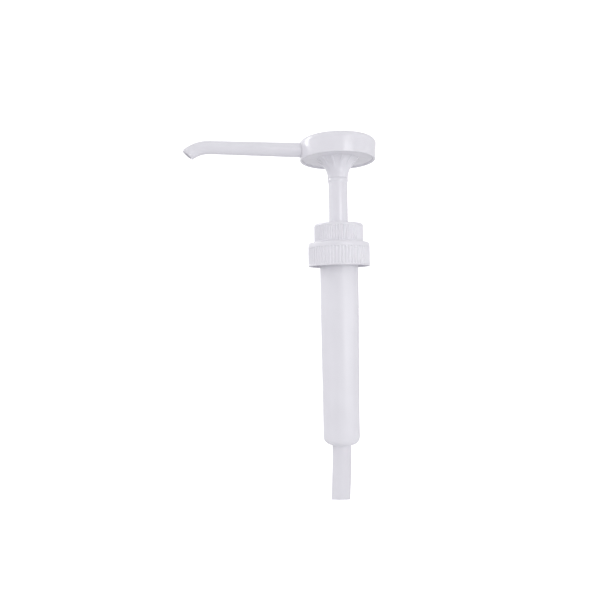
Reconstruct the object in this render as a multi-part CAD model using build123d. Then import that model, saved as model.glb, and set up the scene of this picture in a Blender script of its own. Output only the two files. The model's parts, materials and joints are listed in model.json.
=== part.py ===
"""Condiment pump for a jar with a 38-400 neck: a disc head with a long side spout, pushed against a spring.

Units are millimetres. +Z is up along the pump's axis, and the spout points along -X.
The origin is on the axis in the plane of the jar's rim, where the closure gasket seals.
"""

from build123d import *
import math
import os

# ---- driving dimensions -------------------------------------------------------------------------

STROKE = 26.4  # travel of the head, about 10 ml a stroke

BARREL_DIA = 25.4
BORE_DIA = 22.0
STEM_DIA = 12.7
DIP_TUBE_DIA = 12.7
HEAD_DIA = 50.8
HEAD_THICKNESS = 13.2
COLLAR_DIA = 32.5
CLOSURE_DIA = 40.8

RUNNING = 0.05  # radial clearance between parts that move on each other
STATIC = 0.02  # radial gap between parts that are pushed together
EDGE_BREAK = 0.3  # radius of small rounded edges

# Heights of the main levels above the jar's rim.
CLOSURE_BOTTOM = -10.5
CLOSURE_TOP = 4.9
COLLAR_BOTTOM = CLOSURE_TOP + 0.15
COLLAR_TOP = 17.3
HEAD_BOTTOM = 59.6
HEAD_TOP = HEAD_BOTTOM + HEAD_THICKNESS
BARREL_BOTTOM = -127.8
DIP_TUBE_END = -165.4
PISTON_BOTTOM = -64.0

# ---- jar closure --------------------------------------------------------------------------------

GASKET_THICKNESS = 1.5
GASKET_BORE_RADIUS = 13.7
FLANGE_RADIUS = 17.6
FLANGE_THICKNESS = 1.6
FLANGE_TOP = GASKET_THICKNESS + FLANGE_THICKNESS
CLOSURE_RADIUS = CLOSURE_DIA / 2
CLOSURE_ROOT_RADIUS = 19.05  # plain wall between the jar threads
CLOSURE_CREST_RADIUS = 17.9  # inner edge of the jar thread
CLOSURE_WEB_BOTTOM = FLANGE_TOP + 0.15
CLOSURE_HOLE_RADIUS = 13.6
CLOSURE_SHOULDER_HEIGHT = 3.6  # smooth band above the grip ribs, flush with their tops
CLOSURE_EDGE_ROUND = 1.1
JAR_THREAD_PITCH = 25.4 / 6
JAR_THREAD_TURNS = 1.25
JAR_THREAD_BOTTOM = -7.9

# ---- retaining collar and the barrel neck it screws on to ---------------------------------------

NECK_TOP = 12.8
NECK_ROOT_RADIUS = 12.4
NECK_CREST_RADIUS = 13.15
COLLAR_RADIUS = COLLAR_DIA / 2
COLLAR_ROOT_RADIUS = 13.45
COLLAR_CREST_RADIUS = 12.65
COLLAR_WEB_THICKNESS = 1.5
COLLAR_HOLE_RADIUS = 6.75
COLLAR_SHOULDER_HEIGHT = 2.0
COLLAR_EDGE_ROUND = 0.9
NECK_THREAD_PITCH = 3.2
NECK_THREAD_TURNS = 1.5
NECK_THREAD_BOTTOM = 7.0

GRIP_RIBS = 60
GRIP_RIB_HEIGHT = 0.42
GRIP_RIB_RADIUS = 0.62
BEAD_HEIGHT = 0.8  # of the plain bead round the foot of each ribbed wall
CAP_DRAFT = 0.1  # that a cap's shoulder leans in towards its top

# ---- barrel -------------------------------------------------------------------------------------

BARREL_RADIUS = BARREL_DIA / 2
BARREL_LOWER_RADIUS = 12.15
BARREL_STRAIGHT_END = -41.0
BARREL_TAPER_END = -108.0
BARREL_FOOT_ROUND = 4.4
BORE_RADIUS = BORE_DIA / 2
BORE_FLOOR = -122.0
VENT_RADIUS = 0.8
VENT_HEIGHT = -5.0

TUBE_RADIUS = DIP_TUBE_DIA / 2
TUBE_BORE_RADIUS = 4.75
TUBE_SOCKET_TOP = -117.0
TUBE_SET_RADIUS = 550.0  # the slight bend left from when the tube was coiled
TUBE_SLANT = 20.6  # degrees, so that the end can't seal against the jar's floor
TUBE_SLANT_HEADING = 9.4  # degrees from -Y towards -X that the open side of the slant faces

# ---- valves -------------------------------------------------------------------------------------

INLET_BALL_RADIUS = 25.4 * 3 / 8 / 2
INLET_PORT_RADIUS = 3.0
INLET_SEAT_BOTTOM = -115.5
INLET_SEAT_RADIUS = 5.4
INLET_LIFT = 3.0
SEAT_TUBE_RADIUS = 8.0
SEAT_TUBE_TOP = -112.0

OUTLET_BALL_RADIUS = 25.4 / 4 / 2
OUTLET_PORT_RADIUS = 2.0
OUTLET_SEAT_RADIUS = 3.6
OUTLET_LIFT = 3.0
BALL_STOP_WALL = 1.1
BALL_STOP_THICKNESS = 1.8

# ---- plunger ------------------------------------------------------------------------------------

STEM_RADIUS = STEM_DIA / 2
STEM_BORE_RADIUS = 4.6
STEM_BOTTOM = -56.0
STEM_SHOULDER_TOP = 47.5
STEM_SHOULDER_EDGE = 45.8
STEM_SHOULDER_BOTTOM = 44.8
STEM_SHOULDER_RADIUS = 6.7
SPIGOT_RADIUS = 5.2
SPIGOT_TOP = 57.0
SPIGOT_BORE_RADIUS = 3.4
SNAP_BEAD_HEIGHT = 55.0
SNAP_BEAD = 0.28
STOP_RADIUS = 8.6
STOP_THICKNESS = 2.0
STEM_ORING_HEIGHT = 51.5
STEM_ORING_SECTION = 0.44  # radius of the rubber section

PISTON_TOP = -46.0
PISTON_RADIUS = 10.4
PISTON_GROOVE_RADIUS = 8.0
PISTON_SHOULDER_RADIUS = 9.6
PISTON_GROOVE = (-61.5, -49.0)

GUIDE_BOTTOM = -6.0
GUIDE_FLANGE_BOTTOM = 13.8
GUIDE_FLANGE_TOP = 15.4
GUIDE_FLANGE_RADIUS = 12.3
GUIDE_RADIUS = 8.3
GUIDE_LAND_BOTTOM = 7.0  # above this the guide fills the barrel's bore
WIPER_POCKET_RADIUS = 9.4
WIPER_POCKET_DEPTH = 3.0
WIPER_WEB = 1.6
WIPER_LIP = 0.5

# ---- head and spout -----------------------------------------------------------------------------

HEAD_RADIUS = HEAD_DIA / 2
HEAD_BOTTOM_RADIUS = 24.85
HEAD_EDGE_ROUND = 3.3
SHELL_BORE_RADIUS = 23.1
SHELL_CEILING = 1.5
BASE_RECESS = 0.8
BASE_PLATE = 1.5
PLATE_BOTTOM = HEAD_BOTTOM + BASE_RECESS
HUB_RADIUS = 7.2
HOLLOW_RADIUS = 12.0
HOLLOW_FLOOR = 58.2

NECK_BOTTOM = 47.6
NECK_RADIUS = 6.7
NECK_FLARE_RADIUS = 14.2
NECK_FINS = 12
NECK_FIN_THICKNESS = 1.4
NECK_FIN_HEIGHT = 0.9  # that the fins stand out of the flare between them
NECK_FIN_FOOT = 52.8  # height where the fins fade into the neck

SPOUT_HEIGHT = 66.0
SPOUT_ROOT_RADIUS = 4.72
SPOUT_BEND_RADIUS_OUTSIDE = 4.16  # outside radius where the bend starts
SPOUT_TIP_RADIUS = 4.2
SPOUT_WALL = 1.1
SPOUT_ROOT_WALL = 1.6
MOUTH_OVERRUN = 4.0  # the tube runs on this far before its mouth is cut
SPOUT_BORE_RADIUS = 2.4  # in the plug that enters the head's socket
SPOUT_GAP = 0.1  # round the spout in the side wall
SPOUT_SHOULDER = 22.0  # distance from the axis to the shoulder inside the head
SPOUT_STRAIGHT = 83.6  # distance from the axis to the start of the bend
SPOUT_BEND = 38.0  # degrees
SPOUT_BEND_RADIUS = 21.5
SPOUT_TIP_LENGTH = 1.2
BEND_STEPS = 4  # stretches of the loft through the bend
SPOUT_CUT = 12.0  # degrees that the mouth leans past square
SOCKET_RADIUS = 5.0
SOCKET_BORE_RADIUS = 3.7
SOCKET_FLOOR = 8.5  # distances from the axis
SOCKET_END = 21.0
PASSAGE_RADIUS = 2.6

# ---- spring and the cage it stands on -----------------------------------------------------------

SPRING_COIL_RADIUS = 9.0
SPRING_WIRE_RADIUS = 0.7
SPRING_TURNS = 8
SPRING_SEAT = -110.4
CAGE_BOTTOM = -118.5
CAGE_TOP = PISTON_BOTTOM - STROKE - 0.2
CAGE_POST_RADIUS = 7.3
CAGE_BORE_RADIUS = 5.3
CAGE_SKIRT_RADIUS = 9.4
CAGE_FLANGE_RADIUS = 10.7
CAGE_STOP_THICKNESS = 1.6
CAGE_WINDOW_WIDTH = 4.4
CAGE_WINDOWS = 6
CAGE_EYE_RADIUS = 2.6  # passes the flow but not the ball


def turned(points, rounds=None):
    """A solid turned about Z from (radius, height) points. rounds maps a point's index to its fillet."""
    outline = make_face(Polyline(*points, close=True))
    for index, radius in (rounds or {}).items():
        corner = outline.vertices().sort_by_distance((*points[index], 0))[0]
        outline = fillet(corner, radius)
    return revolve(Plane.XZ * outline, Axis.Z)


def ring(inner, outer, bottom, top):
    """A plain ring about Z."""
    return turned([(inner, bottom), (outer, bottom), (outer, top), (inner, top)])


def round_ring(coil_radius, section_radius, height):
    """A ring of round section, such as an O-ring, about Z."""
    return Pos(0, 0, height) * Torus(coil_radius, section_radius)


def thread_ridge(root, crest, bottom, pitch, turns):
    """One helical thread ridge from the root radius to the crest radius, on either side of a wall."""
    bury = 0.2 if root > crest else -0.2
    helix = Pos(0, 0, bottom) * Helix(pitch=pitch, height=pitch * turns, radius=root)
    half_root, half_crest = pitch * 0.22, pitch * 0.1
    outline = make_face(
        Polyline(
            (bury, -half_root),
            (crest - root, -half_crest),
            (crest - root, half_crest),
            (bury, half_root),
            close=True,
        )
    )
    start = Plane(origin=(root, 0, bottom), x_dir=(1, 0, 0), z_dir=(0, -1, 0))
    return sweep(start * outline, path=helix, is_frenet=True)


def grip_ribs(radius, bottom, top):
    """Upright round ribs in a circle, standing on a wall of the given radius."""
    offset = radius + GRIP_RIB_HEIGHT - GRIP_RIB_RADIUS
    ribs = PolarLocations(offset, GRIP_RIBS) * Circle(GRIP_RIB_RADIUS)
    return Pos(0, 0, bottom) * extrude(Sketch() + ribs, top - bottom)


# ---- parts that hang in the jar -----------------------------------------------------------------


def make_barrel():
    outside = [
        (0, NECK_TOP),
        (NECK_ROOT_RADIUS, NECK_TOP),
        (NECK_ROOT_RADIUS, FLANGE_TOP),
        (FLANGE_RADIUS, FLANGE_TOP),
        (FLANGE_RADIUS, GASKET_THICKNESS),
        (BARREL_RADIUS, GASKET_THICKNESS),
        (BARREL_RADIUS, BARREL_STRAIGHT_END),
        (BARREL_LOWER_RADIUS, BARREL_TAPER_END),
        (BARREL_LOWER_RADIUS, BARREL_BOTTOM),
        (0, BARREL_BOTTOM),
    ]
    body = turned(outside, {8: BARREL_FOOT_ROUND})
    body += thread_ridge(
        NECK_ROOT_RADIUS, NECK_CREST_RADIUS, NECK_THREAD_BOTTOM, NECK_THREAD_PITCH, NECK_THREAD_TURNS
    )
    # The bore runs past the floor around a re-entrant tube that carries the inlet seat.
    body -= ring(0, BORE_RADIUS, SEAT_TUBE_TOP, NECK_TOP)
    body -= ring(SEAT_TUBE_RADIUS, BORE_RADIUS, BORE_FLOOR, SEAT_TUBE_TOP)
    seat_rise = INLET_SEAT_RADIUS - INLET_PORT_RADIUS
    body -= turned(
        [
            (0, TUBE_SOCKET_TOP),
            (INLET_PORT_RADIUS, TUBE_SOCKET_TOP),
            (INLET_PORT_RADIUS, INLET_SEAT_BOTTOM),
            (INLET_SEAT_RADIUS, INLET_SEAT_BOTTOM + seat_rise),
            (INLET_SEAT_RADIUS, SEAT_TUBE_TOP),
            (0, SEAT_TUBE_TOP),
        ]
    )
    body -= ring(0, TUBE_RADIUS + STATIC, BARREL_BOTTOM, TUBE_SOCKET_TOP)
    vent = Rot(90, 0, 0) * Cylinder(VENT_RADIUS, 2 * (BARREL_RADIUS - BORE_RADIUS) + 1)
    return body - Pos(0, BARREL_RADIUS, VENT_HEIGHT) * vent


def make_dip_tube():
    """A tube, straight in its socket and then slightly bent, with its end cut on a slant."""
    centre = (-TUBE_SET_RADIUS, BARREL_BOTTOM)
    sweep_angle = math.degrees((BARREL_BOTTOM - DIP_TUBE_END + DIP_TUBE_DIA) / TUBE_SET_RADIUS)
    bend = Plane.XZ * CenterArc(centre, TUBE_SET_RADIUS, 0, -sweep_angle)
    wall = Circle(TUBE_RADIUS) - Circle(TUBE_BORE_RADIUS)
    tube = ring(TUBE_BORE_RADIUS, TUBE_RADIUS, BARREL_BOTTOM, TUBE_SOCKET_TOP)
    tube += sweep(Plane((0, 0, BARREL_BOTTOM), z_dir=(0, 0, -1)) * wall, path=bend)
    slant = Rot(0, 0, -TUBE_SLANT_HEADING) * Rot(-TUBE_SLANT, 0, 0)
    width, depth = 5 * DIP_TUBE_DIA, 2 * DIP_TUBE_DIA
    below = Box(width, width, depth, align=(Align.CENTER, Align.CENTER, Align.MAX))
    return tube - Pos(0, 0, DIP_TUBE_END) * slant * below


def make_inlet_ball():
    rise = INLET_BALL_RADIUS * math.sqrt(2) - INLET_PORT_RADIUS
    return Pos(0, 0, INLET_SEAT_BOTTOM + rise + 0.01) * Sphere(INLET_BALL_RADIUS)


def make_inlet_ball_cage():
    """A cage pressed over the seat tube. It limits the ball's lift, its flange carries the spring,
    and its post stands inside the spring, where the piston lands at the end of the stroke."""
    stop = make_inlet_ball().bounding_box().max.Z + INLET_LIFT + 0.05
    stop_top = stop + CAGE_STOP_THICKNESS
    fit = SEAT_TUBE_RADIUS + STATIC
    cage = turned(
        [
            (fit, CAGE_BOTTOM),
            (CAGE_SKIRT_RADIUS, CAGE_BOTTOM),
            (CAGE_SKIRT_RADIUS, SPRING_SEAT - 2.0),
            (CAGE_FLANGE_RADIUS, SPRING_SEAT - 1.5),
            (CAGE_FLANGE_RADIUS, SPRING_SEAT),
            (CAGE_POST_RADIUS, SPRING_SEAT),
            (CAGE_POST_RADIUS, CAGE_TOP),
            (CAGE_BORE_RADIUS, CAGE_TOP),
            (CAGE_BORE_RADIUS, stop_top),
            (CAGE_EYE_RADIUS, stop_top),
            (CAGE_EYE_RADIUS, stop),
            (CAGE_BORE_RADIUS, stop),
            (CAGE_BORE_RADIUS, SEAT_TUBE_TOP + STATIC),
            (fit, SEAT_TUBE_TOP + STATIC),
        ],
        {6: 2 * EDGE_BREAK, 7: 2 * EDGE_BREAK},
    )
    middle = (stop + SPRING_SEAT) / 2
    window_pair = Box(2 * CAGE_FLANGE_RADIUS, CAGE_WINDOW_WIDTH, stop - SPRING_SEAT - 1.0)
    for pair in range(CAGE_WINDOWS // 2):
        cage -= Pos(0, 0, middle) * Rot(0, 0, 360 / CAGE_WINDOWS * pair) * window_pair
    return cage


def make_return_spring():
    """Round wire, with its end coils resting on the cage flange and under the piston."""
    bottom = SPRING_SEAT + SPRING_WIRE_RADIUS + 0.05
    top = PISTON_BOTTOM - SPRING_WIRE_RADIUS - 0.05
    helix = Pos(0, 0, bottom) * Helix(
        pitch=(top - bottom) / SPRING_TURNS, height=top - bottom, radius=SPRING_COIL_RADIUS
    )
    start = Plane(origin=helix @ 0, z_dir=helix % 0)
    return sweep(start * Circle(SPRING_WIRE_RADIUS), path=helix, is_frenet=True)


# ---- parts at the jar's mouth -------------------------------------------------------------------


def make_screw_closure():
    shoulder = CLOSURE_TOP - CLOSURE_SHOULDER_HEIGHT
    wall = CLOSURE_RADIUS - GRIP_RIB_HEIGHT
    outside = [
        (0, CLOSURE_BOTTOM),
        (CLOSURE_RADIUS, CLOSURE_BOTTOM),
        (CLOSURE_RADIUS, CLOSURE_BOTTOM + BEAD_HEIGHT),
        (wall, CLOSURE_BOTTOM + BEAD_HEIGHT + 0.3),
        (wall, shoulder),
        (CLOSURE_RADIUS, shoulder + 0.5),
        (CLOSURE_RADIUS - CAP_DRAFT, CLOSURE_TOP),
        (0, CLOSURE_TOP),
    ]
    body = turned(outside, {1: EDGE_BREAK, 6: CLOSURE_EDGE_ROUND})
    body += grip_ribs(wall, CLOSURE_BOTTOM + 0.5, shoulder + 0.4)
    body -= ring(0, CLOSURE_ROOT_RADIUS, CLOSURE_BOTTOM, CLOSURE_WEB_BOTTOM)
    body -= ring(0, CLOSURE_HOLE_RADIUS, CLOSURE_BOTTOM, CLOSURE_TOP)
    return body + thread_ridge(
        CLOSURE_ROOT_RADIUS, CLOSURE_CREST_RADIUS, JAR_THREAD_BOTTOM, JAR_THREAD_PITCH, JAR_THREAD_TURNS
    )


def make_closure_gasket():
    return ring(GASKET_BORE_RADIUS, FLANGE_RADIUS, 0, GASKET_THICKNESS)


def make_retaining_collar():
    wall = COLLAR_RADIUS - GRIP_RIB_HEIGHT
    shoulder = COLLAR_TOP - COLLAR_SHOULDER_HEIGHT
    web_bottom = COLLAR_TOP - COLLAR_WEB_THICKNESS
    outside = [
        (0, COLLAR_BOTTOM),
        (COLLAR_RADIUS, COLLAR_BOTTOM),
        (COLLAR_RADIUS, COLLAR_BOTTOM + BEAD_HEIGHT),
        (wall, COLLAR_BOTTOM + BEAD_HEIGHT + 0.3),
        (wall, shoulder),
        (COLLAR_RADIUS, shoulder + 0.5),
        (COLLAR_RADIUS - CAP_DRAFT, COLLAR_TOP),
        (0, COLLAR_TOP),
    ]
    body = turned(outside, {1: EDGE_BREAK, 6: COLLAR_EDGE_ROUND})
    body += grip_ribs(wall, COLLAR_BOTTOM + 0.4, shoulder + 0.4)
    body -= ring(0, COLLAR_ROOT_RADIUS, COLLAR_BOTTOM, web_bottom)
    body -= ring(0, COLLAR_HOLE_RADIUS, COLLAR_BOTTOM, COLLAR_TOP)
    lead = NECK_THREAD_BOTTOM + NECK_THREAD_PITCH / 2
    return body + thread_ridge(
        COLLAR_ROOT_RADIUS, COLLAR_CREST_RADIUS, lead, NECK_THREAD_PITCH, NECK_THREAD_TURNS - 0.5
    )


def make_stem_guide():
    """A flanged bush in the barrel's mouth. The stem slides in it, and its foot stops the stem's rise."""
    bore = STEM_RADIUS + RUNNING
    pocket_floor = GUIDE_FLANGE_TOP - WIPER_POCKET_DEPTH
    return turned(
        [
            (bore, GUIDE_BOTTOM),
            (GUIDE_RADIUS, GUIDE_BOTTOM),
            (GUIDE_RADIUS, GUIDE_LAND_BOTTOM),
            (BORE_RADIUS - STATIC, GUIDE_LAND_BOTTOM),
            (BORE_RADIUS - STATIC, GUIDE_FLANGE_BOTTOM),
            (GUIDE_FLANGE_RADIUS, GUIDE_FLANGE_BOTTOM),
            (GUIDE_FLANGE_RADIUS, GUIDE_FLANGE_TOP),
            (WIPER_POCKET_RADIUS, GUIDE_FLANGE_TOP),
            (WIPER_POCKET_RADIUS, pocket_floor),
            (bore, pocket_floor),
        ]
    )


def make_guide_gasket():
    return ring(BORE_RADIUS + 0.1, GUIDE_FLANGE_RADIUS, NECK_TOP, GUIDE_FLANGE_BOTTOM)


def make_stem_wiper():
    """A soft ring in the guide's pocket. Its upper lip wipes the stem."""
    floor = GUIDE_FLANGE_TOP - WIPER_POCKET_DEPTH + STATIC
    web = floor + WIPER_WEB
    top = COLLAR_TOP - COLLAR_WEB_THICKNESS - STATIC
    lip = STEM_RADIUS + 0.03
    outer = WIPER_POCKET_RADIUS - STATIC
    return turned(
        [
            (lip + WIPER_LIP, floor),
            (outer, floor),
            (outer, top),
            (outer - 1.0, top),
            (outer - 1.3, web),
            (outer - 1.8, web),
            (lip + WIPER_LIP, top - 0.3),
            (lip, top - 0.3),
            (lip, top - 1.2),
        ]
    )


# ---- plunger ------------------------------------------------------------------------------------


def make_stem():
    """A tube with a stop ring that meets the guide, and a spigot that the head snaps on to and turns on."""
    stop_top = GUIDE_BOTTOM - RUNNING
    body = turned(
        [
            (SPIGOT_BORE_RADIUS, SPIGOT_TOP),
            (SPIGOT_RADIUS, SPIGOT_TOP),
            (SPIGOT_RADIUS, SNAP_BEAD_HEIGHT + 0.8),
            (SPIGOT_RADIUS + SNAP_BEAD, SNAP_BEAD_HEIGHT + 0.3),
            (SPIGOT_RADIUS + SNAP_BEAD, SNAP_BEAD_HEIGHT - 0.3),
            (SPIGOT_RADIUS, SNAP_BEAD_HEIGHT - 0.4),
            (SPIGOT_RADIUS, STEM_SHOULDER_TOP),
            (STEM_SHOULDER_RADIUS, STEM_SHOULDER_TOP),
            (STEM_SHOULDER_RADIUS, STEM_SHOULDER_EDGE),
            (STEM_RADIUS, STEM_SHOULDER_BOTTOM),
            (STEM_RADIUS, stop_top),
            (STOP_RADIUS, stop_top),
            (STOP_RADIUS, stop_top - STOP_THICKNESS),
            (STEM_RADIUS, stop_top - STOP_THICKNESS - 1.0),
            (STEM_RADIUS, STEM_BOTTOM),
            (STEM_BORE_RADIUS, STEM_BOTTOM),
            (STEM_BORE_RADIUS, STEM_SHOULDER_BOTTOM - 1.5),
            (SPIGOT_BORE_RADIUS, STEM_SHOULDER_BOTTOM),
        ],
        {0: EDGE_BREAK, 1: 0.5, 7: EDGE_BREAK},
    )
    groove_floor = SPIGOT_RADIUS - 2 * STEM_ORING_SECTION
    half = STEM_ORING_SECTION + 0.12
    return body - ring(groove_floor, SPIGOT_RADIUS + 1, STEM_ORING_HEIGHT - half, STEM_ORING_HEIGHT + half)


def make_stem_oring():
    coil = SPIGOT_RADIUS - STEM_ORING_SECTION + 0.01
    return round_ring(coil, STEM_ORING_SECTION, STEM_ORING_HEIGHT)


def make_piston_body():
    """A spool pushed on to the stem's foot. It carries the outlet seat and the seal's groove."""
    low, high = PISTON_GROOVE
    seat_drop = OUTLET_SEAT_RADIUS - OUTLET_PORT_RADIUS
    return turned(
        [
            (OUTLET_PORT_RADIUS, PISTON_BOTTOM),
            (PISTON_RADIUS, PISTON_BOTTOM),
            (PISTON_RADIUS, low),
            (PISTON_GROOVE_RADIUS, low),
            (PISTON_GROOVE_RADIUS, high),
            (PISTON_SHOULDER_RADIUS, high),
            (PISTON_SHOULDER_RADIUS, high + 1.5),
            (PISTON_SHOULDER_RADIUS - 1.0, PISTON_TOP),
            (STEM_RADIUS + STATIC, PISTON_TOP),
            (STEM_RADIUS + STATIC, STEM_BOTTOM - STATIC),
            (OUTLET_SEAT_RADIUS, STEM_BOTTOM - STATIC),
            (OUTLET_PORT_RADIUS, STEM_BOTTOM - STATIC - seat_drop),
        ],
        {1: 2 * EDGE_BREAK},
    )


def make_piston_seal():
    """A double lip seal: the upper lip wipes the bore, and the lower lip holds the sauce below it."""
    low, high = PISTON_GROOVE[0] + STATIC, PISTON_GROOVE[1] - STATIC
    inner = PISTON_GROOVE_RADIUS + STATIC
    hub = inner + 1.0
    lip = BORE_RADIUS - 0.03
    lower_half = [
        (inner, low),
        (hub, low),
        (hub, low + 2.6),
        (hub + 0.5, low + 2.6),
        (lip - 0.5, low + 0.4),
        (lip, low + 0.4),
        (lip, low + 1.6),
        (hub + 1.1, low + 4.4),
    ]
    upper_half = [(radius, low + high - height) for radius, height in reversed(lower_half)]
    return turned(lower_half + upper_half)


def make_outlet_ball():
    rise = OUTLET_BALL_RADIUS * math.sqrt(2) - OUTLET_PORT_RADIUS
    seat_bottom = STEM_BOTTOM - STATIC - (OUTLET_SEAT_RADIUS - OUTLET_PORT_RADIUS)
    return Pos(0, 0, seat_bottom + rise + 0.01) * Sphere(OUTLET_BALL_RADIUS)


def make_outlet_ball_stop():
    """A ring with two cross bars, pushed up the stem's bore to limit the ball's lift."""
    bottom = make_outlet_ball().bounding_box().max.Z + OUTLET_LIFT + 0.05
    outer = STEM_BORE_RADIUS - STATIC
    stop = ring(outer - BALL_STOP_WALL, outer, bottom, bottom + BALL_STOP_THICKNESS)
    bar = Box(2 * outer - BALL_STOP_WALL, BALL_STOP_WALL, BALL_STOP_THICKNESS)
    cross = Pos(0, 0, bottom + BALL_STOP_THICKNESS / 2) * (bar + Rot(0, 0, 90) * bar)
    return stop + cross


# ---- head and spout -----------------------------------------------------------------------------


def along_spout(shape):
    """Lays a solid made about Z on to the spout's axis, with its height as distance from the pump's axis."""
    return Pos(0, 0, SPOUT_HEIGHT) * Rot(0, -90, 0) * shape


def make_head_shell():
    """The push face and side wall in one cup, with a round hole for the spout."""
    outside = [
        (0, HEAD_BOTTOM),
        (HEAD_BOTTOM_RADIUS, HEAD_BOTTOM),
        (HEAD_RADIUS, HEAD_TOP - HEAD_EDGE_ROUND),
        (HEAD_RADIUS, HEAD_TOP),
        (0, HEAD_TOP + 0.4),
    ]
    body = turned(outside, {1: 0.5, 3: HEAD_EDGE_ROUND})
    body -= ring(0, SHELL_BORE_RADIUS, HEAD_BOTTOM, HEAD_TOP - SHELL_CEILING)
    return body - along_spout(ring(0, SPOUT_ROOT_RADIUS + SPOUT_GAP, SPOUT_SHOULDER, HEAD_DIA))


def flare_radius(level):
    """The radius of the neck's flare at a height."""
    rise = level - NECK_BOTTOM
    return NECK_RADIUS + NECK_FLARE_RADIUS - math.sqrt(NECK_FLARE_RADIUS**2 - rise**2)


def flared_neck():
    """The trumpet shape that the neck and its fins fill, and the plate it runs out into."""
    plate_radius = SHELL_BORE_RADIUS - STATIC
    plate_top = PLATE_BOTTOM + BASE_PLATE
    halfway = (NECK_BOTTOM + PLATE_BOTTOM) / 2
    flare = ThreePointArc(
        (NECK_RADIUS, NECK_BOTTOM),
        (flare_radius(halfway), halfway),
        (flare_radius(PLATE_BOTTOM), PLATE_BOTTOM),
    )
    rest = Polyline(
        (flare_radius(PLATE_BOTTOM), PLATE_BOTTOM),
        (plate_radius, PLATE_BOTTOM),
        (plate_radius, plate_top),
        (0, plate_top),
        (0, NECK_BOTTOM),
        (NECK_RADIUS, NECK_BOTTOM),
    )
    return revolve(Plane.XZ * make_face(Curve() + [flare, rest]), Axis.Z)


def fin_gaps():
    """The shallow hollows between the fins of the flare."""
    middle = (NECK_FIN_FOOT + PLATE_BOTTOM) / 2
    floor = ThreePointArc(
        (flare_radius(NECK_FIN_FOOT), NECK_FIN_FOOT),
        (flare_radius(middle) - NECK_FIN_HEIGHT, middle),
        (flare_radius(PLATE_BOTTOM) - NECK_FIN_HEIGHT, PLATE_BOTTOM),
    )
    rest = Polyline(
        (flare_radius(PLATE_BOTTOM) - NECK_FIN_HEIGHT, PLATE_BOTTOM),
        (SHELL_BORE_RADIUS, PLATE_BOTTOM),
        (SHELL_BORE_RADIUS, NECK_FIN_FOOT),
        (flare_radius(NECK_FIN_FOOT), NECK_FIN_FOOT),
    )
    gaps = revolve(Plane.XZ * make_face(Curve() + [floor, rest]), Axis.Z)
    reach, rise = SHELL_BORE_RADIUS + 1, PLATE_BOTTOM - NECK_FIN_FOOT + 1
    fin = Box(reach, NECK_FIN_THICKNESS, 2 * rise, align=(Align.MIN, Align.CENTER, Align.CENTER))
    for turn in range(NECK_FINS):
        gaps -= Pos(0, 0, PLATE_BOTTOM) * Rot(0, 0, 360 / NECK_FINS * turn) * fin
    return gaps


def make_head_base():
    """The underside plate, the neck that swivels on the stem, and the passage from the neck to the spout."""
    body = flared_neck() - fin_gaps()
    # A hollow above the flare keeps its wall even.
    body -= turned(
        [
            (HUB_RADIUS, HOLLOW_FLOOR),
            (HUB_RADIUS + 0.8, HOLLOW_FLOOR),
            (HOLLOW_RADIUS, PLATE_BOTTOM + BASE_PLATE),
            (HUB_RADIUS, PLATE_BOTTOM + BASE_PLATE),
        ]
    )
    body += ring(0, HUB_RADIUS, PLATE_BOTTOM, SPOUT_HEIGHT + SOCKET_RADIUS)
    body += along_spout(ring(0, SOCKET_RADIUS, 0, SOCKET_END))
    # The spout plugs into the socket, and its shoulder and O-ring drop into a notch in the plate.
    body -= along_spout(ring(0, SOCKET_BORE_RADIUS, SOCKET_FLOOR, SOCKET_END))
    body -= along_spout(ring(0, SPOUT_ROOT_RADIUS + SPOUT_GAP, SOCKET_END, HEAD_RADIUS))
    body -= along_spout(ring(0, PASSAGE_RADIUS, -PASSAGE_RADIUS, SOCKET_END))
    # The stem's spigot turns in the neck, and its bead snaps into a groove.
    groove = ring(0, SPIGOT_RADIUS + SNAP_BEAD + 0.08, SNAP_BEAD_HEIGHT - 0.6, SNAP_BEAD_HEIGHT + 0.9)
    body -= ring(0, SPIGOT_RADIUS + RUNNING, NECK_BOTTOM, SPIGOT_TOP + 0.2)
    return body - groove - ring(0, SPIGOT_BORE_RADIUS, NECK_BOTTOM, SPOUT_HEIGHT)


def spout_centre(turn, reach=0.0):
    """The centre and heading of the spout, turn radians into its bend and then reach further on."""
    heading = (-math.cos(turn), 0, -math.sin(turn))
    centre = (
        -SPOUT_STRAIGHT - SPOUT_BEND_RADIUS * math.sin(turn) + reach * heading[0],
        0,
        SPOUT_HEIGHT - SPOUT_BEND_RADIUS * (1 - math.cos(turn)) + reach * heading[2],
    )
    return centre, heading


def spout_section(radius, turn):
    centre, heading = spout_centre(turn)
    return Plane(origin=centre, x_dir=(0, 1, 0), z_dir=heading) * Circle(radius)


def spout_solid(root_radius, bend_radius, tip_radius, overrun):
    """A tapered round rod along the spout's centreline, from the shoulder to past the mouth."""
    low_end = (Align.CENTER, Align.CENTER, Align.MIN)
    straight = Cone(root_radius, bend_radius, SPOUT_STRAIGHT - SPOUT_SHOULDER, align=low_end)
    body = along_spout(Pos(0, 0, SPOUT_SHOULDER) * straight)
    turn = math.radians(SPOUT_BEND)
    sections = []
    for step in range(BEND_STEPS + 1):
        share = step / BEND_STEPS
        sections.append(spout_section(bend_radius + (tip_radius - bend_radius) * share, turn * share))
    body += loft(sections)
    centre, heading = spout_centre(turn)
    end = Plane(origin=centre, x_dir=(0, 1, 0), z_dir=heading)
    return body + end * Cylinder(tip_radius, SPOUT_TIP_LENGTH + overrun, align=low_end)


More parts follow.
